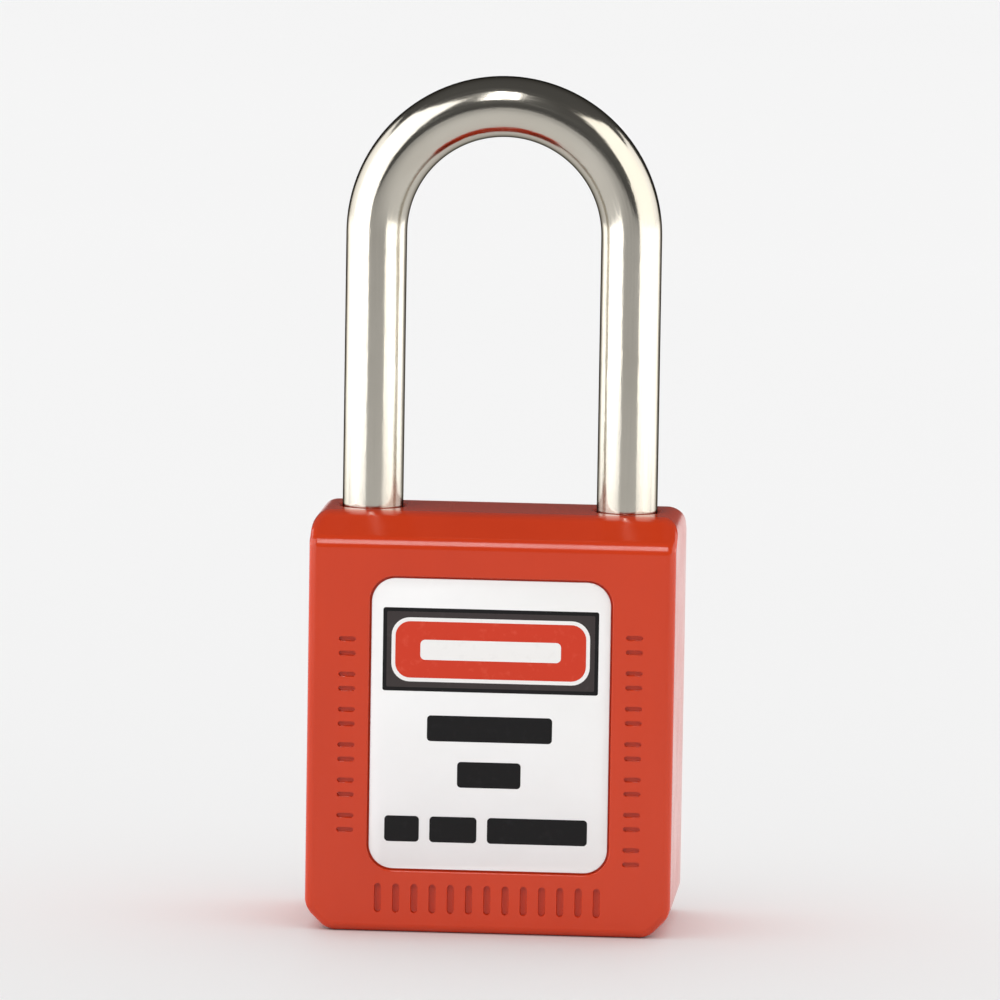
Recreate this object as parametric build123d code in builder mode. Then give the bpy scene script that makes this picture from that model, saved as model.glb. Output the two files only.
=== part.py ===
"""Keyed safety padlock with a moulded body, a long steel shackle and a six-pin cylinder.

Frame: millimetres, origin at the middle of the flat base, +Z up through the shackle, +X towards
the toe leg (the free leg) and -Y towards the front label. The shackle is shut, and the plug is
turned to its open position, so the shackle is free to lift. Turning the plug -90 degrees about
+Z drives the locking ball out into the toe notch.
"""

import math
import os

from build123d import *

os.makedirs("parts", exist_ok=True)


def save(piece, node):
    """Labels a finished piece and writes it to its own file."""
    piece.label = node
    export_step(piece, f"parts/{node}.step")


# ---------------------------------------------------------------- driving dimensions
# Body
body_width = 38.1
body_depth = 20.0
body_height = 43.5
shoulder_drop = 2.5  # how far the front face stops below the flat top
plateau_depth = 11.0  # depth of the flat top, between the two sloped shoulders
bottom_corner = 2.3
top_corner = 1.8
edge_round = 1.0
side_wall = 1.6
face_wall = 1.8
top_wall = 3.5
cavity_corner = 1.5

# Clearances
press_gap = 0.03  # a pin driven into its hole
part_gap = 0.10  # a piece dropped into its seat
slide_gap = 0.125  # a shackle leg in its bore
turn_gap = 0.05  # the plug in its sleeve

# Shackle
rod_radius = 3.175
leg_margin = 2.575  # from a leg's outer side to the body's side
clear_height = 38.8  # from the flat top to the inside of the bow
toe_depth = 14.0  # how far the toe leg reaches into the body
toe_lift_clear = 3.0  # the toe's height over the flat top when the shackle is up
rod_end_chamfer = 0.6
leg_mouth_chamfer = 0.5

# Heel leg, below the flat top
neck_radius = 2.3
neck_top_depth = 14.5  # the neck's upper end, below the flat top
foot_length = 2.15
retaining_pin_radius = 1.0
retaining_pin_play = 0.6  # from the pin's top to the neck's upper end

# Locking ball and cam
ball_radius = 2.38
ball_bite = 1.3  # how far the ball stands in the toe leg when locked
ball_above_toe_end = 4.5
notch_gap = 0.12
cam_gap = 0.10
cam_height = 5.2
cam_cavity_gap = 0.2
lock_angle = 90.0  # plug travel from open to locked
cam_pocket_angle = 40.0  # round stretch that keeps clear of the ball when open
cam_hub_radius = 4.2

# Plug and cylinder
plug_to_toe = 13.3  # from the plug's axis to the toe leg's axis
plug_radius = 4.6
plug_head_rim = 0.7  # how far the plug's head stands out past its barrel
plug_recess = 0.7  # the keyway face stands this far inside the base
plug_head_length = 1.9
first_pin_z = 4.6  # from the keyway face to the first pin
pin_pitch = 3.3
pin_count = 6
last_pin_margin = 3.2  # from the last pin to the cylinder's inner end
sleeve_wall = 2.0
tower_rise = 5.55  # how far the pin tower stands out past the sleeve
tower_half_width = 2.6
chamber_cover_thickness = 0.55
chamber_cover_width = 3.4
pin_radius = 1.25
chamber_gap = 0.05
driver_length = 3.8
driver_waist_radius = 0.9
key_pin_lengths = [5.0, 4.1, 4.6, 3.7, 4.9, 4.3]
key_pin_tip = 0.7
keyway_width = 2.0
keyway_ward = 0.55
keyway_foot = 4.0  # the keyway's reach away from the pins
keyway_head = 2.4  # the keyway's reach towards the pins
keyway_ends_short = 1.6  # wall left between the keyway and the plug's inner end
clip_thickness = 0.5
clip_wall = 1.5
clip_groove_depth = 0.7
clip_mouth_angle = 70.0
tongue_width = 2.0
tongue_length = 5.6
tongue_height = 2.1
tongue_gap = 0.1

# Springs
shackle_spring_wire = 0.25
shackle_spring_turns = 7
shackle_spring_radius = 2.35
pin_spring_wire = 0.12
pin_spring_turns = 6
pin_spring_radius = 0.95

# Base cover
cover_thickness = 2.4
cover_end_set_back = 0.15  # how far the cover's sloped ends stay inside the body's cut corners
cover_tab_inset = 7.45  # from the shell's inner side to a tab's middle
cover_tab_width = 4.0
cover_tab_depth = 2.5
cover_tab_top = 11.0
cover_pin_z = 8.6
cover_pin_radius = 0.8
cover_pin_grip = 5.5  # how far a cover pin reaches in from the label seat
spring_boss_radius = 1.6
spring_boss_height = 0.8
pin_end_chamfer = 0.2

# Labels and moulded grip marks
label_side = 6.55  # from the body's side to the label seat
label_height = 30.6
label_corner = 2.6
label_bottom_z = 6.6
label_seat_depth = 0.5
label_thickness = 0.3
label_gap = 0.1
grip_mark_length = 1.9
grip_mark_width = 0.6
grip_mark_depth = 0.25
grip_side = 4.15  # from the body's side to a column of marks
grip_pair_pitch = 1.5
grip_pitch = 3.7
grip_left_bottom_z = 11.4
grip_left_count = 6
grip_right_bottom_z = 8.5
grip_right_count = 7
grip_foot_z = 3.6
grip_foot_length = 3.2
grip_foot_width = 0.8
grip_foot_pitch = 1.9
grip_foot_count = 13

# ---------------------------------------------------------------- worked-out places
front_y = -body_depth / 2
cavity_width = body_width - 2 * side_wall
cavity_depth = body_depth - 2 * face_wall
cavity_top = body_height - top_wall
leg_x = body_width / 2 - leg_margin - rod_radius
bow_z = body_height + clear_height - (leg_x - rod_radius)
bore_radius = rod_radius + slide_gap
plug_x = round(leg_x - plug_to_toe, 6)

toe_end_z = body_height - toe_depth
lift = toe_depth + toe_lift_clear
ball_z = toe_end_z + ball_above_toe_end
toe_face_x = leg_x - rod_radius
ball_locked_x = toe_face_x + ball_bite - ball_radius
ball_open_x = leg_x - bore_radius - ball_radius - 0.02
ball_travel = ball_locked_x - ball_open_x
cam_locked_radius = ball_locked_x - plug_x - ball_radius - cam_gap
cam_open_radius = ball_open_x - plug_x - ball_radius - cam_gap
cam_cavity_radius = cam_locked_radius + cam_cavity_gap
cam_bottom_z = ball_z - cam_height / 2
cam_top_z = ball_z + cam_height / 2

neck_top_z = body_height - neck_top_depth
retaining_pin_z = neck_top_z - retaining_pin_play - retaining_pin_radius
retaining_pin_x = -leg_x + neck_radius + part_gap + retaining_pin_radius
neck_bottom_z = retaining_pin_z - retaining_pin_radius - lift - turn_gap
heel_end_z = neck_bottom_z - foot_length

plug_face_z = plug_recess
plug_shoulder_z = plug_face_z + plug_head_length
pin_z = [plug_face_z + first_pin_z + i * pin_pitch for i in range(pin_count)]
cylinder_bottom_z = plug_shoulder_z + turn_gap
cylinder_top_z = pin_z[-1] + last_pin_margin
clip_bottom_z = cylinder_top_z + turn_gap
plug_top_z = clip_bottom_z + 2 * clip_thickness
tongue_top_z = plug_top_z + tongue_height
plug_head_radius = plug_radius + plug_head_rim
sleeve_radius = plug_radius + turn_gap + sleeve_wall
tower_reach = sleeve_radius + tower_rise
chamber_radius = pin_radius + chamber_gap
chamber_end_x = tower_reach - chamber_cover_thickness
driver_inner_x = plug_radius + turn_gap
key_pin_end_y = math.sqrt(plug_radius**2 - pin_radius**2)
driver_outer_x = driver_inner_x + driver_length

frame_bottom_z = cover_thickness + turn_gap
label_width = body_width - 2 * label_side
label_centre_z = label_bottom_z + label_height / 2
label_seat_y = front_y + label_seat_depth
pin_head_y = label_seat_y + part_gap
retaining_pin_end_y = cavity_depth / 2 - face_wall

front_plane = Plane.XZ.offset(body_depth / 2)  # its normal points out of the front face
back_plane = Plane.XZ.offset(-body_depth / 2)
cover_width = cavity_width - 2 * part_gap
cover_end_slope = cover_width / 2 - (body_width / 2 - bottom_corner) + cover_end_set_back
cover_tab_x = cavity_width / 2 - cover_tab_inset
grip_mark_x = body_width / 2 - grip_side
leg_places = [(leg_x, 0), (-leg_x, 0)]
cover_pin_places = [(side * cover_tab_x, cover_pin_z) for side in (-1, 1)]
retaining_pin_place = (retaining_pin_x, retaining_pin_z)


def across_plug(z):
    """The plane square to the plug's axis at one height."""
    return Plane((plug_x, 0, z))


# ---------------------------------------------------------------- body shell
shoulder_z = body_height - shoulder_drop
half_plateau = plateau_depth / 2
side_outline = [
    (front_y, 0),
    (front_y, shoulder_z),
    (-half_plateau, body_height),
    (half_plateau, body_height),
    (-front_y, shoulder_z),
    (-front_y, 0),
]

with BuildPart() as body_shell:
    with BuildSketch(Plane.YZ):
        with BuildLine():
            Polyline(*side_outline, close=True)
        make_face()
    extrude(amount=body_width / 2, both=True)
    with BuildSketch(Plane.XZ) as front_outline:
        with Locations((0, body_height / 2)):
            Rectangle(body_width, body_height)
        chamfer(front_outline.vertices().group_by(Axis.Y)[0], bottom_corner)
        fillet(front_outline.vertices().group_by(Axis.Y)[-1], top_corner)
    extrude(amount=body_depth, both=True, mode=Mode.INTERSECT)
    fillet(body_shell.edges(), edge_round)

    with BuildSketch(Plane.XY):
        RectangleRounded(cavity_width, cavity_depth, cavity_corner)
    extrude(amount=cavity_top, mode=Mode.SUBTRACT)
    with BuildSketch(Plane.XY.offset(body_height)):
        with Locations(*leg_places):
            Circle(bore_radius)
    extrude(amount=-top_wall, mode=Mode.SUBTRACT)
    leg_mouths = body_shell.edges().filter_by(GeomType.CIRCLE).group_by(Axis.Z)[-1]
    chamfer(leg_mouths, leg_mouth_chamfer)

    for face_plane, inward in ((front_plane, -label_seat_depth), (back_plane, label_seat_depth)):
        with BuildSketch(face_plane):
            with Locations((0, label_centre_z)):
                RectangleRounded(label_width, label_height, label_corner)
        extrude(amount=inward, mode=Mode.SUBTRACT)

    with BuildSketch(front_plane):
        with Locations(retaining_pin_place):
            Circle(retaining_pin_radius + press_gap)
        with Locations(*cover_pin_places):
            Circle(cover_pin_radius + press_gap)
    extrude(amount=-(label_seat_depth + face_wall), mode=Mode.SUBTRACT)

    with BuildSketch(front_plane):
        for side, bottom_z, count in (
            (-1, grip_left_bottom_z, grip_left_count),
            (1, grip_right_bottom_z, grip_right_count),
        ):
            for mark in range(count):
                mark_z = bottom_z + mark * grip_pitch
                with Locations((side * grip_mark_x, mark_z)):
                    with GridLocations(1, grip_pair_pitch, 1, 2):
                        SlotOverall(grip_mark_length, grip_mark_width)
        with Locations((0, grip_foot_z)):
            with GridLocations(grip_foot_pitch, 1, grip_foot_count, 1):
                SlotOverall(grip_foot_length, grip_foot_width, rotation=90)
    extrude(amount=-grip_mark_depth, mode=Mode.SUBTRACT)

save(body_shell.part, "body_shell")

# ---------------------------------------------------------------- base cover
tab_y = -cavity_depth / 2 + part_gap + cover_tab_depth / 2

with BuildPart() as bottom_cover:
    with BuildSketch(Plane.XY):
        RectangleRounded(cover_width, cavity_depth - 2 * part_gap, cavity_corner - part_gap)
        with Locations((plug_x, 0)):
            Circle(plug_head_radius + part_gap, mode=Mode.SUBTRACT)
    extrude(amount=cover_thickness)
    with BuildSketch(Plane.XZ) as cover_outline:
        with Locations((0, cover_thickness / 2)):
            Rectangle(cover_width, cover_thickness)
        chamfer(cover_outline.vertices().group_by(Axis.Y)[0], cover_end_slope)
    extrude(amount=body_depth, both=True, mode=Mode.INTERSECT)
    keyway_mouth = bottom_cover.edges().filter_by(GeomType.CIRCLE).group_by(Axis.Z)[0]
    chamfer(keyway_mouth.sort_by(SortBy.RADIUS)[-1], plug_recess / 2)
    with BuildSketch(Plane.XY.offset(cover_thickness)):
        with Locations((-cover_tab_x, tab_y), (cover_tab_x, tab_y)):
            Rectangle(cover_tab_width, cover_tab_depth)
    extrude(amount=cover_tab_top - cover_thickness)
    with BuildSketch(Plane.XY.offset(cover_thickness)):
        with Locations((-leg_x, 0)):
            Circle(spring_boss_radius)
    extrude(amount=spring_boss_height)
    with BuildSketch(front_plane):
        with Locations(*cover_pin_places):
            Circle(cover_pin_radius + press_gap)
    extrude(amount=-body_depth / 2, mode=Mode.SUBTRACT)

save(bottom_cover.part, "bottom_cover")

# ---------------------------------------------------------------- lock frame
with BuildPart() as lock_frame:
    with BuildSketch(Plane.XY.offset(frame_bottom_z)):
        RectangleRounded(
            cavity_width - 2 * part_gap, cavity_depth - 2 * part_gap, cavity_corner - part_gap
        )
    extrude(amount=cavity_top - part_gap - frame_bottom_z)
    with BuildSketch(Plane.XY.offset(frame_bottom_z)):
        with Locations((-leg_x, 0)):
            Circle(bore_radius)
    extrude(amount=cavity_top, mode=Mode.SUBTRACT)
    with BuildSketch(Plane.XY.offset(toe_end_z - part_gap)):
        with Locations((leg_x, 0)):
            Circle(bore_radius)
    extrude(amount=cavity_top, mode=Mode.SUBTRACT)
    with BuildSketch(across_plug(frame_bottom_z)):
        Circle(sleeve_radius + part_gap)
        with Locations((tower_reach / 2 + part_gap / 2, 0)):
            Rectangle(tower_reach + part_gap, 2 * (tower_half_width + part_gap))
    extrude(amount=cylinder_top_z + part_gap - frame_bottom_z, mode=Mode.SUBTRACT)
    with BuildSketch(across_plug(cylinder_top_z)):
        Circle(cam_cavity_radius)
    extrude(amount=cam_top_z + part_gap - cylinder_top_z, mode=Mode.SUBTRACT)
    with BuildSketch(Plane.YZ.offset(plug_x)):
        with Locations((0, ball_z)):
            Circle(ball_radius + turn_gap)
    extrude(amount=plug_to_toe, mode=Mode.SUBTRACT)
    with BuildSketch(front_plane):
        with Locations(retaining_pin_place):
            Circle(retaining_pin_radius + press_gap)
    extrude(amount=-(retaining_pin_end_y + part_gap - front_y), mode=Mode.SUBTRACT)
    with BuildSketch(front_plane):
        with Locations(*cover_pin_places):
            Circle(cover_pin_radius + press_gap)
    extrude(amount=-(label_seat_depth + cover_pin_grip + 2 * part_gap), mode=Mode.SUBTRACT)
    with BuildSketch(Plane.XY.offset(frame_bottom_z)):
        with Locations((-cover_tab_x, tab_y), (cover_tab_x, tab_y)):
            Rectangle(cover_tab_width + 2 * part_gap, cover_tab_depth + 2 * part_gap)
    extrude(amount=cover_tab_top + part_gap - frame_bottom_z, mode=Mode.SUBTRACT)

save(lock_frame.part, "lock_frame")

# ---------------------------------------------------------------- shackle
with BuildPart() as shackle:
    with BuildLine(Plane.XZ):
        Line((-leg_x, heel_end_z), (-leg_x, bow_z))
        ThreePointArc((-leg_x, bow_z), (0, bow_z + leg_x), (leg_x, bow_z))
        Line((leg_x, bow_z), (leg_x, toe_end_z))
    with BuildSketch(Plane.XY.offset(heel_end_z)):
        with Locations((-leg_x, 0)):
            Circle(rod_radius)
    sweep()
    ends = shackle.faces().filter_by(GeomType.PLANE).edges()
    chamfer(ends, rod_end_chamfer)
    with BuildSketch(Plane.XZ):
        with Locations((ball_locked_x, ball_z)):
            Circle(ball_radius + notch_gap)
    extrude(amount=body_depth, both=True, mode=Mode.SUBTRACT)
    with BuildSketch(Plane.XY.offset(neck_bottom_z)):
        with Locations((-leg_x, 0)):
            Circle(rod_radius + slide_gap)
            Circle(neck_radius, mode=Mode.SUBTRACT)
    extrude(amount=neck_top_z - neck_bottom_z, mode=Mode.SUBTRACT)

save(shackle.part, "shackle")

# ---------------------------------------------------------------- shackle spring
spring_room = heel_end_z - cover_thickness
spring_height = spring_room - 2 * shackle_spring_wire - part_gap

with BuildPart() as shackle_spring:
    with BuildLine() as spring_path:
        Helix(
            pitch=spring_height / shackle_spring_turns,
            height=spring_height,
            radius=shackle_spring_radius,
            center=(-leg_x, 0, cover_thickness + shackle_spring_wire + part_gap / 2),
        )
    with BuildSketch(Plane(origin=spring_path.line @ 0, z_dir=spring_path.line % 0)):
        Circle(shackle_spring_wire)
    sweep(is_frenet=True)

save(shackle_spring.part, "shackle_spring")

# ---------------------------------------------------------------- driven pins of the body
for node, place, radius, end_y in (
    ("retaining_pin", retaining_pin_place, retaining_pin_radius, retaining_pin_end_y),
    ("cover_pin_left", cover_pin_places[0], cover_pin_radius, pin_head_y + cover_pin_grip),
    ("cover_pin_right", cover_pin_places[1], cover_pin_radius, pin_head_y + cover_pin_grip),
):
    with BuildPart() as driven_pin:
        with BuildSketch(Plane.XZ.offset(-pin_head_y)):
            with Locations(place):
                Circle(radius)
        extrude(amount=-(end_y - pin_head_y))
        chamfer(driven_pin.edges().filter_by(GeomType.CIRCLE), pin_end_chamfer)
    save(driven_pin.part, node)

# ---------------------------------------------------------------- locking ball
with BuildPart() as locking_ball:
    with Locations((ball_open_x, 0, ball_z)):
        Sphere(ball_radius)

save(locking_ball.part, "locking_ball")


# ---------------------------------------------------------------- actuator cam
def cam_point(angle, radius):
    """A point of the cam's outline about the plug's axis, its angle in degrees from the ball."""
    return (radius * math.cos(math.radians(angle)), radius * math.sin(math.radians(angle)))


mean_cam_radius = (cam_open_radius + cam_locked_radius) / 2
cam_rise_start = cam_point(0, cam_open_radius)
cam_rise_end = cam_point(lock_angle, cam_locked_radius)
cam_pocket_start = cam_point(-cam_pocket_angle, cam_open_radius)
cam_step_top = cam_point(-cam_pocket_angle, cam_locked_radius)

with BuildPart() as actuator:
    with BuildSketch(across_plug(cam_bottom_z)):
        with BuildLine():
            ThreePointArc(cam_rise_start, cam_point(lock_angle / 2, mean_cam_radius), cam_rise_end)
            ThreePointArc(
                cam_rise_end,
                cam_point((360 + lock_angle - cam_pocket_angle) / 2, cam_locked_radius),
                cam_step_top,
            )
            Line(cam_step_top, cam_pocket_start)
            ThreePointArc(
                cam_pocket_start, cam_point(-cam_pocket_angle / 2, cam_open_radius), cam_rise_start
            )
        make_face()
    extrude(amount=cam_height)
    with BuildSketch(across_plug(plug_top_z + part_gap)):
        Circle(cam_hub_radius)
    extrude(amount=cam_bottom_z - plug_top_z - part_gap)
    with BuildSketch(across_plug(plug_top_z)):
        Rectangle(tongue_length + 2 * tongue_gap, tongue_width + 2 * tongue_gap)
    extrude(amount=tongue_height + 2 * tongue_gap, mode=Mode.SUBTRACT)

save(actuator.part, "actuator")

# ---------------------------------------------------------------- plug
half_keyway = keyway_width / 2
keyway_outline = [
    (-half_keyway, -keyway_foot),
    (-half_keyway, -keyway_foot / 2),
    (-half_keyway + keyway_ward, -keyway_foot / 2),
    (-half_keyway + keyway_ward, -keyway_foot / 4),
    (-half_keyway, -keyway_foot / 4),
    (-half_keyway, keyway_head),
    (half_keyway - keyway_ward, keyway_head),
    (half_keyway - keyway_ward, 0),
    (half_keyway, 0),
    (half_keyway, -keyway_foot),
]
keyway_depth = cylinder_top_z - keyway_ends_short - plug_face_z
chamber_foot = key_pin_end_y - max(key_pin_lengths) - key_pin_tip

with BuildPart() as plug:
    with BuildSketch(across_plug(plug_face_z)):
        Circle(plug_head_radius)
    extrude(amount=plug_head_length)
    with BuildSketch(across_plug(plug_shoulder_z)):
        Circle(plug_radius)
    extrude(amount=plug_top_z - plug_shoulder_z)
    chamfer(plug.edges().group_by(Axis.Z)[0], plug_recess / 3)
    with BuildSketch(across_plug(plug_top_z)):
        Rectangle(tongue_length, tongue_width)
    extrude(amount=tongue_height)
    with BuildSketch(across_plug(clip_bottom_z - press_gap)):
        Circle(plug_radius + turn_gap)
        Circle(plug_radius - clip_groove_depth, mode=Mode.SUBTRACT)
    extrude(amount=clip_thickness + 2 * press_gap, mode=Mode.SUBTRACT)
    with BuildSketch(across_plug(plug_face_z)):
        with BuildLine():
            Polyline(*keyway_outline, close=True)
        make_face()
    extrude(amount=keyway_depth, mode=Mode.SUBTRACT)
    with BuildSketch(Plane.XZ.offset(-plug_radius - part_gap)):
        with Locations(*[(plug_x, z) for z in pin_z]):
            Circle(chamber_radius)
    extrude(amount=plug_radius + part_gap - chamber_foot, mode=Mode.SUBTRACT)

save(plug.part, "plug")

# ---------------------------------------------------------------- plug clip
clip_inner_radius = plug_radius - clip_groove_depth + turn_gap

with BuildPart() as plug_clip:
    with BuildSketch(across_plug(clip_bottom_z)):
        Circle(clip_inner_radius + clip_wall)
        Circle(clip_inner_radius, mode=Mode.SUBTRACT)
        with BuildLine():
            mouth_reach = 2 * (clip_inner_radius + clip_wall)
            Polyline(
                (0, 0),
                (mouth_reach, mouth_reach * math.tan(math.radians(clip_mouth_angle / 2))),
                (mouth_reach, -mouth_reach * math.tan(math.radians(clip_mouth_angle / 2))),
                close=True,
            )
        make_face(mode=Mode.SUBTRACT)
    extrude(amount=clip_thickness)

save(plug_clip.part, "plug_clip")

# ---------------------------------------------------------------- cylinder shell
with BuildPart() as cylinder_shell:
    with BuildSketch(across_plug(cylinder_bottom_z)):
        Circle(sleeve_radius)
        with Locations((tower_reach / 2, 0)):
            Rectangle(tower_reach, 2 * tower_half_width)
        with Locations((tower_reach - chamber_cover_thickness / 2, 0)):
            Rectangle(chamber_cover_thickness, chamber_cover_width, mode=Mode.SUBTRACT)
        Circle(plug_radius + turn_gap, mode=Mode.SUBTRACT)
    extrude(amount=cylinder_top_z - cylinder_bottom_z)
    with BuildSketch(Plane.YZ.offset(plug_x)):
        with Locations(*[(0, z) for z in pin_z]):
            Circle(chamber_radius)
    extrude(amount=tower_reach, mode=Mode.SUBTRACT)

save(cylinder_shell.part, "cylinder_shell")

with BuildPart() as chamber_cover:
    with BuildSketch(across_plug(cylinder_bottom_z)):
        with Locations((tower_reach - chamber_cover_thickness / 2 + press_gap / 2, 0)):
            Rectangle(chamber_cover_thickness - press_gap, chamber_cover_width - 2 * press_gap)
    extrude(amount=cylinder_top_z - cylinder_bottom_z)

save(chamber_cover.part, "chamber_cover")

# ---------------------------------------------------------------- pins and pin springs
driver_third = driver_length / 3
pin_spring_room = chamber_end_x - driver_outer_x
pin_spring_height = pin_spring_room - 2 * pin_spring_wire - part_gap

for number, z in enumerate(pin_z, start=1):
    length = key_pin_lengths[number - 1]
    with BuildPart() as key_pin:
        with BuildSketch(across_plug(z)):
            with BuildLine():
                Polyline(
                    (0, key_pin_end_y),
                    (pin_radius, key_pin_end_y),
                    (pin_radius, key_pin_end_y - length + key_pin_tip),
                    (0, key_pin_end_y - length),
                    close=True,
                )
            make_face()
        revolve(axis=Axis((plug_x, 0, z), (0, 1, 0)))
    save(key_pin.part, f"key_pin_{number}")

    with BuildPart() as driver_pin:
        with BuildSketch(across_plug(z)):
            with BuildLine():
                Polyline(
                    (driver_inner_x, 0),
                    (driver_inner_x, pin_radius),
                    (driver_inner_x + driver_third / 2, pin_radius),
                    (driver_inner_x + driver_third, driver_waist_radius),
                    (driver_inner_x + 2 * driver_third, driver_waist_radius),
                    (driver_outer_x - driver_third / 2, pin_radius),
                    (driver_outer_x, pin_radius),
                    (driver_outer_x, 0),
                    close=True,
                )
            make_face()
        revolve(axis=Axis((plug_x, 0, z), (1, 0, 0)))
    save(driver_pin.part, f"driver_pin_{number}")

    with BuildPart() as pin_spring:
        with BuildLine() as coil_path:
            Helix(
                pitch=pin_spring_height / pin_spring_turns,
                height=pin_spring_height,
                radius=pin_spring_radius,
                center=(plug_x + driver_outer_x + pin_spring_wire + part_gap / 2, 0, z),
                direction=(1, 0, 0),
            )
        with BuildSketch(Plane(origin=coil_path.line @ 0, z_dir=coil_path.line % 0)):
            Circle(pin_spring_wire)
        sweep(is_frenet=True)
    save(pin_spring.part, f"pin_spring_{number}")

# ---------------------------------------------------------------- labels
for node, outer_plane, inward in (
    ("front_label", Plane.XZ.offset(-label_seat_y), 1),
    ("rear_label", Plane.XZ.offset(label_seat_y), -1),
):
    with BuildPart() as label:
        with BuildSketch(outer_plane):
            with Locations((0, label_centre_z)):
                RectangleRounded(
                    label_width - 2 * label_gap, label_height - 2 * label_gap, label_corner - label_gap
                )
        extrude(amount=inward * label_thickness)
    save(label.part, node)
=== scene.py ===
import math

import bmesh
import bpy
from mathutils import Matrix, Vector


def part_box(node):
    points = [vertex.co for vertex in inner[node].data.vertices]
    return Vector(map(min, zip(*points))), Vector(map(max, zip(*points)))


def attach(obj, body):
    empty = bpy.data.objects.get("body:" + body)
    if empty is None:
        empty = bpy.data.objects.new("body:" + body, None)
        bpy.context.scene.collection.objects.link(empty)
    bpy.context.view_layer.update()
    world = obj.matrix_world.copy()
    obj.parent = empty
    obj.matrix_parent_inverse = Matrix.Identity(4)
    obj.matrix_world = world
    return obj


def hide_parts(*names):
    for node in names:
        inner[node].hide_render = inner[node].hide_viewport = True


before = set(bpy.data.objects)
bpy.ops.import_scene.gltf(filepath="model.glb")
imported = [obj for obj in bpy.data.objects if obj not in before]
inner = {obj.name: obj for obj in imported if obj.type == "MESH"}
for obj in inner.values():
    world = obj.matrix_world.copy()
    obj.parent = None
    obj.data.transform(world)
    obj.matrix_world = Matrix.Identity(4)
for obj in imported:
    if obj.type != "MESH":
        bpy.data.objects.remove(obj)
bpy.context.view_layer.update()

mm = 0.001

# ------------------------------------------------------------------ sizes read from the frame
shell_low, shell_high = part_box("body_shell")
label_low, label_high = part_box("front_label")
rod_low, rod_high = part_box("shackle")
cover_low, cover_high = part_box("bottom_cover")

width = shell_high.x - shell_low.x
depth = shell_high.y - shell_low.y
height = shell_high.z
label_top = label_high.z
rod_radius = rod_high.y
leg_x = rod_high.x - rod_radius
bow_z = rod_high.z - rod_radius - leg_x
heel_z = rod_low.z

# ------------------------------------------------------------------ sizes of the casing
shoulder_drop = 2.5 * mm
plateau_half = 5.5 * mm
top_corner = 1.8 * mm
foot_corner = 2.3 * mm
outer_edge = 0.9 * mm
fine_edge = 0.14 * mm
seat_depth = 0.5 * mm
seat_gap = 0.2 * mm
seat_corner = 2.6 * mm
bore_radius = rod_radius + 0.125 * mm
mouth_depth = 6 * mm
mouth_edge = 0.45 * mm
rim_tolerance = 0.02 * mm
cover_gap = 0.1 * mm
hollow_top = 40 * mm
hollow_corner = 1.5 * mm

# grip marks: pairs of short level slots beside the label, and a row of upright slots at the foot
mark_depth = 0.4 * mm
mark_slope = 0.24 * mm
mark_size = (1.9 * mm, 0.65 * mm)
mark_x = 14.9 * mm
mark_gap = 1.5 * mm
pair_pitch = 3.7 * mm
left_pairs, left_pairs_z = 6, 11.4 * mm
right_pairs, right_pairs_z = 7, 8.5 * mm
slot_size = (0.85 * mm, 3.2 * mm)
slot_pitch = 1.9 * mm
slot_z = 3.6 * mm
slots = 13

# ------------------------------------------------------------------ sizes of the shackle
neck_radius = 2.3 * mm
foot_top = 9.35 * mm
neck_top = 29.0 * mm
toe_z = 29.5 * mm
foot_edge = 0.2 * mm
neck_root = 0.15 * mm
neck_taper = 0.35 * mm
collar_step = 0.2 * mm
collar_round = 0.08 * mm
tip_step = 0.3 * mm
tip_radii = (rod_radius - 0.6 * mm, rod_radius - 0.18 * mm, rod_radius)
notch_radius = 2.5 * mm
notch_x, notch_z = 9.045 * mm, 34 * mm
notch_edge = 0.12 * mm
skin_tolerance = 0.03 * mm
leg_parts = 12
bow_parts = 72

# ------------------------------------------------------------------ sizes of the labels
label_corner = 2.5 * mm
label_edge = 0.06 * mm
ink_thickness = 0.015 * mm


# ------------------------------------------------------------------ bench habits
def put_down():
    """Leaves edit mode and selects nothing."""
    if bpy.context.object and bpy.context.object.mode == "EDIT":
        bpy.ops.object.mode_set(mode="OBJECT")
    bpy.ops.object.select_all(action="DESELECT")


def take(piece):
    """Selects one piece only and makes it the active one."""
    put_down()
    piece.select_set(True)
    bpy.context.view_layer.objects.active = piece


def open_up(piece, what="FACE"):
    """Goes into edit mode on a piece with nothing selected."""
    take(piece)
    bpy.ops.object.mode_set(mode="EDIT")
    bpy.ops.mesh.select_mode(type=what)
    bpy.ops.mesh.select_all(action="DESELECT")


def pick_faces(piece, wanted):
    """Selects the faces whose middle and normal pass the test."""
    mesh = bmesh.from_edit_mesh(piece.data)
    for face in mesh.faces:
        face.select_set(bool(wanted(face.calc_center_median(), face.normal)))
    mesh.select_flush_mode()
    bmesh.update_edit_mesh(piece.data)


def pick_edges(piece, wanted):
    """Selects the edges whose two ends pass the test."""
    mesh = bmesh.from_edit_mesh(piece.data)
    for edge in mesh.edges:
        a, b = (vertex.co for vertex in edge.verts)
        edge.select_set(bool(wanted(a, b)))
    mesh.select_flush_mode()
    bmesh.update_edit_mesh(piece.data)


def bevel_edges(piece, wanted, offset, steps):
    """Cuts or rounds the edges whose two ends pass the test."""
    open_up(piece, "EDGE")
    pick_edges(piece, wanted)
    bpy.ops.mesh.bevel(offset=offset, segments=steps, affect="EDGES")
    put_down()


def name_it(piece, name):
    """Gives a piece and its mesh the same name."""
    piece.name = name
    piece.data.name = name
    return piece


def settle(piece):
    """Puts a piece's place, turn and scale into its mesh."""
    take(piece)
    bpy.ops.object.transform_apply(location=True, rotation=True, scale=True)


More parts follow.
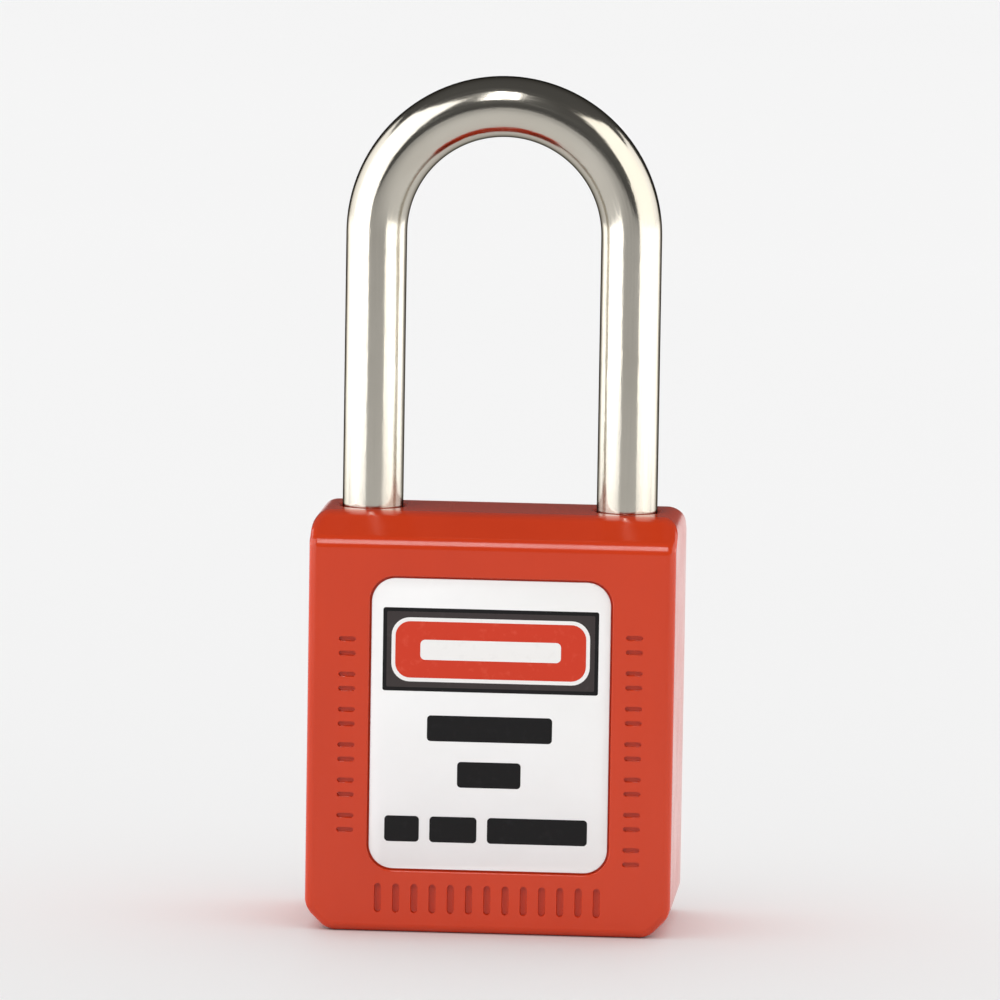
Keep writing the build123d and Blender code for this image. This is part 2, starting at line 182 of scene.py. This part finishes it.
def block(name, size, middle):
    """A block at its size and place."""
    put_down()
    bpy.ops.mesh.primitive_cube_add(size=1, location=middle)
    piece = name_it(bpy.context.object, name)
    piece.scale = size
    settle(piece)
    return piece


def rod(name, radius, length, middle, turn=(0, 0, 0), around=64):
    """A round bar at its size and place."""
    put_down()
    bpy.ops.mesh.primitive_cylinder_add(
        vertices=around, radius=radius, depth=length, location=middle, rotation=turn
    )
    piece = name_it(bpy.context.object, name)
    settle(piece)
    return piece


def finish_modifier(piece, kind, **settings):
    """Adds one modifier with its settings and applies it."""
    take(piece)
    modifier = piece.modifiers.new(kind.title(), kind)
    for key, value in settings.items():
        setattr(modifier, key, value)
    bpy.ops.object.modifier_apply(modifier=modifier.name)


def cut(piece, tool):
    """Cuts the tool's shape out of a piece, and throws the tool away."""
    finish_modifier(piece, "BOOLEAN", operation="DIFFERENCE", solver="EXACT", object=tool)
    bpy.data.objects.remove(tool)


def weld(pieces):
    """Joins several pieces into the first of them."""
    put_down()
    for piece in pieces:
        piece.select_set(True)
    bpy.context.view_layer.objects.active = pieces[0]
    bpy.ops.object.join()
    return pieces[0]


def copy_to(piece, shift):
    """A copy with its own mesh, moved along by the shift."""
    take(piece)
    bpy.ops.object.duplicate(linked=False)
    bpy.ops.transform.translate(value=shift)
    copy = bpy.context.object
    settle(copy)
    return copy


def round_plate(name, size, middle, corner, steps=10):
    """An upright plate facing the front with round corners."""
    plate = block(name, size, middle)
    bevel_edges(plate, lambda a, b: abs(a.y - b.y) > size[1] * 0.9, corner, steps)
    return plate


def soften(piece, radius, steps, angle):
    """Rounds every edge sharper than the angle, and evens the shading over it."""
    finish_modifier(
        piece, "BEVEL", width=radius, segments=steps, limit_method="ANGLE", angle_limit=math.radians(angle),
        use_clamp_overlap=True, harden_normals=True,
    )


def smooth(piece, angle):
    """Shades a piece smooth across every edge blunter than the angle."""
    take(piece)
    bpy.ops.object.shade_smooth_by_angle(angle=math.radians(angle), keep_sharp_edges=True)


# ------------------------------------------------------------------ casing
def on_mouth(a, b):
    """True on the rim of a leg hole, at the casing's top."""
    for point in (a, b):
        from_axis = math.hypot(abs(point.x) - leg_x, point.y)
        if point.z < height - rim_tolerance / 2 or abs(from_axis - bore_radius) > rim_tolerance:
            return False
    return True


def mark_punch(x, z, size):
    """The punch for one sunk grip mark, narrower at its tip so that the mark has sloped walls."""
    wide, high = size
    round_end = min(wide, high) * 0.498  # just under half, so that the two round ends don't meet
    punch = round_plate("punch", (wide, 2 * mark_depth, high), (x, -depth / 2, z), round_end, 5)
    open_up(punch)
    pick_faces(punch, lambda middle, normal: normal.y > 0.9)
    bpy.ops.transform.resize(value=(1 - mark_slope / wide, 1, 1 - mark_slope / high))
    put_down()
    return punch


def repeat(punch, count, step):
    """A punch and its copies, each one step further on."""
    return [punch] + [copy_to(punch, [place * part for part in step]) for place in range(1, count)]


def rough_out_casing():
    """The solid block with round top corners, cut foot corners and the two sloped shoulders."""
    casing = block("casing", (width, depth, height), (0, 0, height / 2))
    bevel_edges(
        casing, lambda a, b: abs(a.y - b.y) > depth / 2 and min(a.z, b.z) > height / 2, top_corner, 8
    )
    bevel_edges(casing, lambda a, b: abs(a.y - b.y) > depth / 2 and max(a.z, b.z) < mm, foot_corner, 1)
    open_up(casing, "EDGE")
    for side in (-1, 1):
        bpy.ops.mesh.select_all(action="SELECT")
        bpy.ops.mesh.bisect(
            plane_co=(0, side * plateau_half, height),
            plane_no=(0, side * shoulder_drop, depth / 2 - plateau_half),
            use_fill=True, clear_outer=True, threshold=1e-7,
        )
    soften(casing, outer_edge, 6, angle=20)
    return casing


def cut_seats(casing):
    """The label's shallow seat in the front face, and the same in the back."""
    label_wide, label_tall = label_high.x - label_low.x, label_high.z - label_low.z
    size = (label_wide + 2 * seat_gap, 2 * seat_depth, label_tall + 2 * seat_gap)
    for side in (-1, 1):
        middle = (0, side * depth / 2, (label_high.z + label_low.z) / 2)
        cut(casing, round_plate("seat", size, middle, seat_corner))


def cut_mouths(casing):
    """The two leg holes in the top, with round rims."""
    for side in (-1, 1):
        cut(casing, rod("mouth", bore_radius, 2 * mouth_depth, (side * leg_x, 0, height)))
    bevel_edges(casing, on_mouth, mouth_edge, 4)


def press_marks(casing):
    """The grip marks left and right of the label and along the foot."""
    punches = []
    columns = ((-mark_x, left_pairs_z, left_pairs), (mark_x, right_pairs_z, right_pairs))
    for x, lowest_z, pairs in columns:
        lower = mark_punch(x, lowest_z - mark_gap / 2, mark_size)
        punches += repeat(weld(repeat(lower, 2, (0, 0, mark_gap))), pairs, (0, 0, pair_pitch))
    first_slot = mark_punch(-(slots - 1) / 2 * slot_pitch, slot_z, slot_size)
    punches += repeat(first_slot, slots, (slot_pitch, 0, 0))
    cut(casing, weld(punches))


def hollow_out(casing):
    """The room inside, open at the foot, where the base cover closes it."""
    cover_wide, cover_deep = cover_high.x - cover_low.x, cover_high.y - cover_low.y
    hollow = block(
        "hollow", (cover_wide + 2 * cover_gap, cover_deep + 2 * cover_gap, 2 * hollow_top), (0, 0, 0)
    )
    bevel_edges(hollow, lambda a, b: abs(a.z - b.z) > hollow_top, hollow_corner, 6)
    cut(casing, hollow)


def model_casing():
    """The red moulding, one piece."""
    casing = rough_out_casing()
    cut_seats(casing)
    cut_mouths(casing)
    soften(casing, fine_edge, 3, angle=50)
    press_marks(casing)
    hollow_out(casing)
    smooth(casing, 35)
    finish_modifier(casing, "WEIGHTED_NORMAL", keep_sharp=True, weight=80)
    return casing


# ------------------------------------------------------------------ shackle
def draw_on(radius, steps):
    """Draws the end ring on through steps of (rise, new radius), and gives the last radius."""
    for rise, new_radius in steps:
        bpy.ops.mesh.extrude_region_move(TRANSFORM_OT_translate={"value": (0, 0, rise)})
        if new_radius != radius:
            bpy.ops.transform.resize(value=(new_radius / radius, new_radius / radius, 1))
        radius = new_radius
    return radius


def on_notch(a, b):
    """True along the two curved rims where the notch meets the rod's skin."""
    for point in (a, b):
        from_axis = math.hypot(point.x - leg_x, point.y)
        from_notch = math.hypot(point.x - notch_x, point.z - notch_z)
        if abs(from_axis - rod_radius) > skin_tolerance or abs(from_notch - notch_radius) > skin_tolerance:
            return False
    return True


def model_shackle():
    """The steel rod: turned foot and neck, heel leg, spun bow, toe leg and the ball's notch."""
    tip, near_tip, full = tip_radii
    turned_end = [
        (tip_step, near_tip),
        (tip_step, full),
        (foot_top - heel_z - 2 * tip_step - foot_edge, full),
        (foot_edge, full - foot_edge),
        (0, neck_radius + neck_root),
        (neck_root, neck_radius),
        (neck_top - foot_top - neck_root - neck_taper, neck_radius),
        (neck_taper, full - neck_taper),
        (collar_step, full - collar_round),
        (collar_step, full),
    ]
    heel_leg = [((bow_z - neck_top - 2 * collar_step) / leg_parts, full)] * leg_parts
    toe_leg = [((toe_z + 2 * tip_step - bow_z) / leg_parts, full)] * leg_parts
    toe_end = [(-tip_step, near_tip), (-tip_step, tip)]

    put_down()
    bpy.ops.mesh.primitive_circle_add(
        vertices=72, radius=tip, fill_type="NGON", location=(-leg_x, 0, heel_z)
    )
    piece = name_it(bpy.context.object, "shackle_rod")
    settle(piece)
    open_up(piece)
    bpy.ops.mesh.select_all(action="SELECT")
    draw_on(draw_on(tip, turned_end), heel_leg)
    bpy.ops.mesh.spin(steps=bow_parts, angle=-math.pi, center=(0, 0, bow_z), axis=(0, 1, 0))
    draw_on(draw_on(full, toe_leg), toe_end)
    bpy.ops.mesh.select_all(action="SELECT")
    bpy.ops.mesh.remove_doubles(threshold=0.002 * mm)
    bpy.ops.mesh.normals_make_consistent(inside=False)
    put_down()
    cut(piece, rod("notch", notch_radius, 20 * mm, (notch_x, 0, notch_z), (math.pi / 2, 0, 0), 48))
    bevel_edges(piece, on_notch, notch_edge, 2)
    smooth(piece, 40)
    return piece


def lay_out_rod(piece):
    """Stores each point's place round the rod and along it, for a pattern that follows the bend."""
    along = piece.data.attributes.new("along_rod", "FLOAT_VECTOR", "POINT")
    for vertex, entry in zip(piece.data.vertices, along.data):
        x, y, z = vertex.co
        if z > bow_z:
            outward = math.hypot(x, z - bow_z) - leg_x
            length = bow_z + leg_x * (math.pi - math.atan2(z - bow_z, x))
        else:
            outward = abs(x) - leg_x
            length = z if x < 0 else 2 * bow_z + math.pi * leg_x - z
        entry.vector = (outward, y, length)


# ------------------------------------------------------------------ finishes
class Finish:
    """One procedural finish: a shader and the few nodes that feed it."""

    def __init__(self, name, roughness, metallic=0.0, **sockets):
        self.material = bpy.data.materials.new(name)
        self.material.use_nodes = True
        self.tree = self.material.node_tree
        self.shader = self.tree.nodes["Principled BSDF"]
        self.shader.inputs["Metallic"].default_value = metallic
        self.shader.inputs["Roughness"].default_value = roughness
        for socket, value in sockets.items():
            self.shader.inputs[socket.replace("_", " ")].default_value = value

    def add(self, kind, links=(), **settings):
        """A node with its settings and the links that come into it."""
        node = self.tree.nodes.new("ShaderNode" + kind)
        for key, value in settings.items():
            if key in node.inputs:
                node.inputs[key].default_value = value
            else:
                setattr(node, key, value)
        for socket, source in links:
            self.tree.links.new(source, node.inputs[socket])
        return node

    def place(self, stretch=(1, 1, 1), turn=(0, 0, 0), attribute=None):
        """Coordinates on the piece, in metres, stretched and turned."""
        if attribute:
            source = self.add("Attribute", attribute_name=attribute).outputs["Vector"]
        else:
            source = self.add("TexCoord").outputs["Object"]
        return self.add("Mapping", [("Vector", source)], Scale=stretch, Rotation=turn).outputs["Vector"]

    def noise(self, where, scale, detail=3.0, roughness=0.55):
        """A cloudy pattern, finer with a larger scale."""
        made = self.add("TexNoise", [("Vector", where)], Scale=scale, Detail=detail, Roughness=roughness)
        return made.outputs["Fac"]

    def spread(self, source, low, high, out_low=0.0, out_high=1.0):
        """Stretches a value from one range to another."""
        made = self.add("MapRange", [("Value", source)])
        ends = {"From Min": low, "From Max": high, "To Min": out_low, "To Max": out_high}
        for socket, value in ends.items():
            made.inputs[socket].default_value = value
        return made.outputs["Result"]

    def sum_of(self, first, second):
        """Two values added."""
        return self.add("Math", [(0, first), (1, second)], operation="ADD").outputs["Value"]

    def colour(self, by, first, second):
        """Base colour between two shades."""
        made = self.add("Mix", [("Factor", by)], data_type="RGBA")
        shades = {"A": (*first, 1), "B": (*second, 1)}
        for socket in made.inputs:
            if socket.type == "RGBA":
                socket.default_value = shades[socket.name]
        result = next(socket for socket in made.outputs if socket.type == "RGBA")
        self.tree.links.new(result, self.shader.inputs["Base Color"])

    def rough(self, source):
        """Roughness from a value."""
        self.tree.links.new(source, self.shader.inputs["Roughness"])

    def relief(self, source, depth, strength=1.0):
        """Tiny bumps from a value, as deep as the depth."""
        made = self.add("Bump", [("Height", source)], Strength=strength, Distance=depth)
        self.tree.links.new(made.outputs["Normal"], self.shader.inputs["Normal"])

    def onto(self, *pieces):
        """Makes this the only finish of each piece."""
        for piece in pieces:
            piece.data.materials.clear()
            piece.data.materials.append(self.material)


def red_moulding():
    """Glossy pigmented nylon: faint flow marks, a soft moulded skin and light rubbing."""
    made = Finish("red_moulding", 0.2, IOR=1.46)
    flow = made.noise(made.place((1, 1, 0.35)), 55, 4, 0.6)
    made.colour(made.spread(flow, 0.3, 0.7), (0.56, 0.04, 0.0085), (0.615, 0.047, 0.0105))
    rubbing = made.noise(made.place((1, 1, 7), (0.2, 0.5, 0.9)), 700, 4, 0.6)
    broad = made.noise(made.place(), 130)
    made.rough(made.sum_of(made.spread(rubbing, 0.5, 0.8, 0, 0.04), made.spread(broad, 0.35, 0.7, 0.14, 0.2)))
    skin = made.noise(made.place(), 3200, 2, 0.5)
    wave = made.noise(made.place(), 170, 1, 0.4)
    made.relief(made.sum_of(made.spread(skin, 0, 1, 0, 0.16), wave), 0.012 * mm, 0.5)
    return made


def polished_steel():
    """Drawn and polished bar: fine lines along the rod, faint spots and a slightly warm sheen."""
    made = Finish("polished_steel", 0.12, metallic=1.0, Specular_Tint=(0, 0, 0, 1))
    lines = made.noise(made.place((1, 1, 0.012), attribute="along_rod"), 3800, 4, 0.7)
    short = made.noise(made.place((1, 1, 0.15), attribute="along_rod"), 2200, 3, 0.6)
    cloud = made.noise(made.place((1, 1, 0.4), attribute="along_rod"), 260)
    made.colour(made.spread(cloud, 0.3, 0.7), (0.565, 0.53, 0.46), (0.62, 0.585, 0.515))
    made.rough(made.sum_of(made.spread(cloud, 0.3, 0.75, 0.07, 0.14), made.spread(lines, 0.4, 0.75, 0, 0.14)))
    made.relief(made.sum_of(lines, made.spread(short, 0.5, 0.8, 0, 0.8)), 0.012 * mm, 0.5)
    return made


def label_film():
    """White satin film with a faint grain and a touch of grey where it has been handled."""
    made = Finish("label_film", 0.36, IOR=1.47)
    cloud = made.noise(made.place(), 90, 4, 0.6)
    made.colour(made.spread(cloud, 0.35, 0.8), (0.93, 0.93, 0.935), (0.89, 0.89, 0.89))
    made.rough(made.spread(made.noise(made.place(), 500), 0.3, 0.7, 0.3, 0.42))
    grain = made.noise(made.place(), 3000, 2)
    ripple = made.noise(made.place(), 140, 1, 0.3)
    made.relief(made.sum_of(made.spread(grain, 0, 1, 0, 0.2), ripple), 0.01 * mm, 0.4)
    return made


def ink(name, shade, thin):
    """Screen-printed ink: nearly even, with tiny pinholes and a thinner tone in places."""
    made = Finish(name, 0.4, Specular_IOR_Level=0.25)
    patchy = made.noise(made.place(), 900, 4, 0.65)
    made.colour(made.spread(patchy, 0.55, 0.85), shade, thin)
    made.rough(made.spread(made.noise(made.place(), 1500, 2), 0.3, 0.7, 0.33, 0.46))
    made.relief(patchy, 0.004 * mm, 0.4)
    return made


def black_nylon():
    """Glass-filled nylon: matt, with short fibre streaks."""
    made = Finish("black_nylon", 0.55, IOR=1.5)
    fibres = made.noise(made.place((1, 0.25, 1), (0.3, 0.2, 0.4)), 1500, 4, 0.7)
    made.colour(made.spread(fibres, 0.45, 0.8), (0.022, 0.022, 0.024), (0.055, 0.055, 0.058))
    made.rough(made.spread(made.noise(made.place(), 300), 0.3, 0.7, 0.48, 0.66))
    made.relief(fibres, 0.02 * mm, 0.5)
    return made


def cut_metal(name, shade, tarnished, roughness, lines, line_range, tarnish_scale, relief_depth):
    """Bare metal: tool lines of a given roughness, and a darker tarnish in patches."""
    made = Finish(name, roughness, metallic=1.0)
    tool_lines = lines(made)
    tarnish = made.noise(made.place(), tarnish_scale, 4, 0.6)
    made.colour(made.spread(tarnish, 0.35, 0.75), shade, tarnished)
    made.rough(made.sum_of(made.spread(tool_lines, *line_range), made.spread(tarnish, 0.4, 0.8, 0, 0.1)))
    made.relief(tool_lines, relief_depth, 0.5)
    return made


def machined(name, shade, tarnished, stretch, scale, smoothest, roughest):
    """Cut metal with fine tool lines one way."""
    return cut_metal(
        name, shade, tarnished, 0.3,
        lines=lambda made: made.noise(made.place(stretch), scale, 4, 0.65),
        line_range=(0.3, 0.8, smoothest, roughest), tarnish_scale=180, relief_depth=0.006 * mm,
    )


def turned(name, shade, tarnished, pitch):
    """Faced on a lathe: rings round the Z axis."""
    def rings(made):
        return made.add(
            "TexWave", [("Vector", made.place())], wave_type="RINGS", rings_direction="Z", Scale=pitch,
            Distortion=0.4, Detail=3.0,
        ).outputs["Fac"]
    return cut_metal(
        name, shade, tarnished, 0.25, rings,
        line_range=(0, 1, 0.2, 0.3), tarnish_scale=260, relief_depth=0.004 * mm,
    )


# ------------------------------------------------------------------ labels
def patch(name, size, x, drop, corner, finish, layer=1, back=False):
    """One printed shape, in millimetres: its middle is x across and a drop below the label's top."""
    wide, high = size
    proud = ink_thickness * (layer - 1)
    shape = round_plate(
        name,
        (wide * mm, 2 * ink_thickness, high * mm),
        (x * mm, label_low.y - proud, label_top - drop * mm),
        corner * mm, 8,
    )
    if back:
        take(shape)
        bpy.ops.transform.translate(value=(0, 2 * (proud - label_low.y), 0))
        settle(shape)
    finish.onto(shape)
    return shape


def model_label(name, side, finish, prints):
    """The film with its softened rim, and its print joined onto it: side 1 is the front, -1 the back."""
    middle = (label_low + label_high) / 2
    plate = round_plate(name, label_high - label_low, (0, side * middle.y, middle.z), label_corner, 14)
    soften(plate, label_edge, 2, angle=50)
    finish.onto(plate)
    label = name_it(weld([plate] + prints), name)
    smooth(label, 40)
    return label


# ------------------------------------------------------------------ the new pieces
casing = model_casing()
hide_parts("body_shell")
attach(casing, "body")

shackle = model_shackle()
lay_out_rod(shackle)
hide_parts("shackle")
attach(shackle, "shackle")

film = label_film()
black = ink("black_ink", (0.006, 0.0055, 0.006), (0.014, 0.013, 0.014))
charcoal = ink("charcoal_ink", (0.045, 0.036, 0.036), (0.062, 0.052, 0.052))
red = ink("red_ink", (0.62, 0.045, 0.018), (0.7, 0.09, 0.05))
white = ink("white_ink", (0.88, 0.87, 0.86), (0.8, 0.79, 0.78))

header_drop, line_one_drop, line_two_drop, line_three_drop = 7.4, 15.6, 20.4, 26.2
bar_high, bar_corner = 2.7, 0.4
front_print = [
    patch("header", (22.4, 8.7), 0, header_drop, 0.25, black),
    patch("header_field", (21.6, 7.9), 0, header_drop, 0.15, charcoal, 2),
    patch("panel_rim", (20.6, 6.7), 0, header_drop, 1.9, white, 3),
    patch("panel", (19.8, 5.9), 0, header_drop, 1.55, red, 4),
    patch("panel_bar", (14.6, 2.1), 0, header_drop, 0.5, white, 5),
    patch("line_one", (13.0, bar_high), 0, line_one_drop, bar_corner, black),
    patch("line_two", (6.6, bar_high), 0, line_two_drop, bar_corner, black),
    patch("line_three_a", (3.6, bar_high), -9.0, line_three_drop, bar_corner, black),
    patch("line_three_b", (4.9, bar_high), -3.65, line_three_drop, bar_corner, black),
    patch("line_three_c", (10.4, bar_high), 5.1, line_three_drop, bar_corner, black),
]
front_label = model_label("front_label_film", 1, film, front_print)
back_print = [patch("back_header", (22.4, 4.2), 0, 4.6, 0.4, charcoal, back=True)]
for drop in (11.8, 16.5, 21.2, 25.9):
    back_print.append(patch("write_line", (21.6, 0.3), 0, drop, 0.1, black, back=True))
rear_label = model_label("rear_label_film", -1, film, back_print)
for label, node in ((front_label, "front_label"), (rear_label, "rear_label")):
    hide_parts(node)
    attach(label, "body")

# ------------------------------------------------------------------ the finish of each piece
red_moulding().onto(casing, inner["bottom_cover"])
polished_steel().onto(shackle)
black_nylon().onto(inner["lock_frame"])
turned("plug_brass", (0.76, 0.6, 0.33), (0.6, 0.44, 0.2), 900).onto(inner["plug"])

cut_brass = machined("cut_brass", (0.72, 0.53, 0.24), (0.55, 0.38, 0.16), (1, 1, 0.05), 1400, 0.22, 0.38)
casting = machined("zinc_casting", (0.46, 0.47, 0.49), (0.33, 0.34, 0.36), (1, 1, 1), 700, 0.35, 0.5)
wire = machined("spring_wire", (0.5, 0.5, 0.51), (0.36, 0.36, 0.37), (0.1, 1, 1), 3000, 0.25, 0.36)
ground = machined("ground_steel", (0.6, 0.6, 0.6), (0.5, 0.5, 0.49), (1, 0.06, 1), 2600, 0.16, 0.26)
turned_steel = machined(
    "turned_steel", (0.58, 0.58, 0.58), (0.44, 0.44, 0.43), (0.06, 1, 1), 2400, 0.2, 0.32
)
pin_brass = machined("pin_brass", (0.78, 0.56, 0.25), (0.6, 0.4, 0.17), (1, 0.06, 1), 2400, 0.2, 0.32)
cut_brass.onto(inner["cylinder_shell"], inner["chamber_cover"])
casting.onto(inner["actuator"])
wire.onto(inner["shackle_spring"], inner["plug_clip"])
ground.onto(inner["retaining_pin"], inner["cover_pin_left"], inner["cover_pin_right"])
ground.onto(inner["locking_ball"])
for number in range(1, 7):
    wire.onto(inner[f"pin_spring_{number}"])
    turned_steel.onto(inner[f"driver_pin_{number}"])
    pin_brass.onto(inner[f"key_pin_{number}"])

# ------------------------------------------------------------------ floor and light
floor_radius = 10
room_light = 0.1
lamp_distance = 0.34
lamp_clearance = 0.002

put_down()
bpy.ops.mesh.primitive_circle_add(vertices=96, radius=floor_radius, fill_type="NGON")
floor = name_it(bpy.context.object, "floor")
paper = Finish("pale_floor", 0.7)
paper.colour(paper.noise(paper.place(), 3, 2), (0.9, 0.9, 0.9), (0.88, 0.88, 0.88))
paper.onto(floor)

world = bpy.data.worlds.new("studio")
world.use_nodes = True
sky = world.node_tree.nodes["Background"]
sky.inputs["Color"].default_value = (1, 1, 1, 1)
sky.inputs["Strength"].default_value = room_light
bpy.context.scene.world = world
bpy.context.scene.view_settings.view_transform = "Standard"


def softbox(name, size, place, aim, glow, shade=(1, 1, 1)):
    """A flat lamp of even brightness, kept out of the camera's own view."""
    put_down()
    bpy.ops.object.light_add(type="AREA", location=place)
    lamp = bpy.context.object
    lamp.name = name
    lamp.data.shape = "RECTANGLE"
    lamp.data.size, lamp.data.size_y = size
    lamp.data.energy = glow * math.pi * size[0] * size[1]
    lamp.data.color = shade
    lamp.visible_camera = False
    lamp.rotation_euler = (Vector(aim) - Vector(place)).to_track_quat("-Z", "Y").to_euler()
    return lamp


def round_about(bearing, distance, z):
    """A place round the lock: bearing 0 is in front of the label, 90 is off its right side."""
    turn = math.radians(bearing)
    return (distance * math.sin(turn), -distance * math.cos(turn), z)


def standing_softbox(name, size, bearing, glow, shade=(1, 1, 1)):
    """A softbox that stands on the floor and faces the lock."""
    middle_z = size[1] / 2 + lamp_clearance
    place = round_about(bearing, lamp_distance, middle_z)
    return softbox(name, size, place, (0, 0, middle_z), glow, shade)


def share_light(name, lamps, state):
    """Lets the lamps light only the floor (INCLUDE) or all but the floor (EXCLUDE)."""
    group = bpy.data.collections.new(name)
    group.objects.link(floor)
    group.collection_objects[0].light_linking.link_state = state
    for lamp in lamps:
        lamp.light_linking.receiver_collection = group


lock_lamps = (
    standing_softbox("left_softbox", (0.5, 0.5), -62, 2.1),
    standing_softbox("right_softbox", (0.46, 0.5), 72, 1.75, (1, 0.98, 0.93)),
    standing_softbox("rear_left_softbox", (0.2, 0.3), -115, 1.6),
    standing_softbox("rear_right_softbox", (0.18, 0.3), 121, 1.6),
    softbox("edge_softbox", (0.15, 0.55), round_about(-6.3, 0.7, 0.84), (0, 0, 0.05), 8),
)
floor_lamps = (
    softbox("floor_softbox", (16, 16), (0, 0, 1.5), (0, 0, 0), 0.5),
    softbox("backdrop_softbox", (4, 3), (0, 1.2, 0.3), (0, 1.2, 0), 0.46),
)
share_light("lock_light", lock_lamps, "EXCLUDE")
share_light("floor_light", floor_lamps, "INCLUDE")

# ------------------------------------------------------------------ camera
azimuth, elevation, roll = math.radians(4.2), math.radians(7.0), math.radians(0.9)
distance = 1.0
aim = Vector((0, 0, 0.0443))
toward_camera = Vector(
    (
        math.sin(azimuth) * math.cos(elevation),
        -math.cos(azimuth) * math.cos(elevation),
        math.sin(elevation),
    )
)
put_down()
bpy.ops.object.camera_add()
camera = bpy.context.object
camera.name = "camera"
camera.data.lens = 345
camera.data.sensor_width = 36
camera.data.clip_start, camera.data.clip_end = 0.01, 20
camera.location = aim + toward_camera * distance
camera.rotation_euler = (-toward_camera).to_track_quat("-Z", "Y").to_euler()
camera.rotation_euler.rotate_axis("Z", roll)
bpy.context.scene.camera = camera
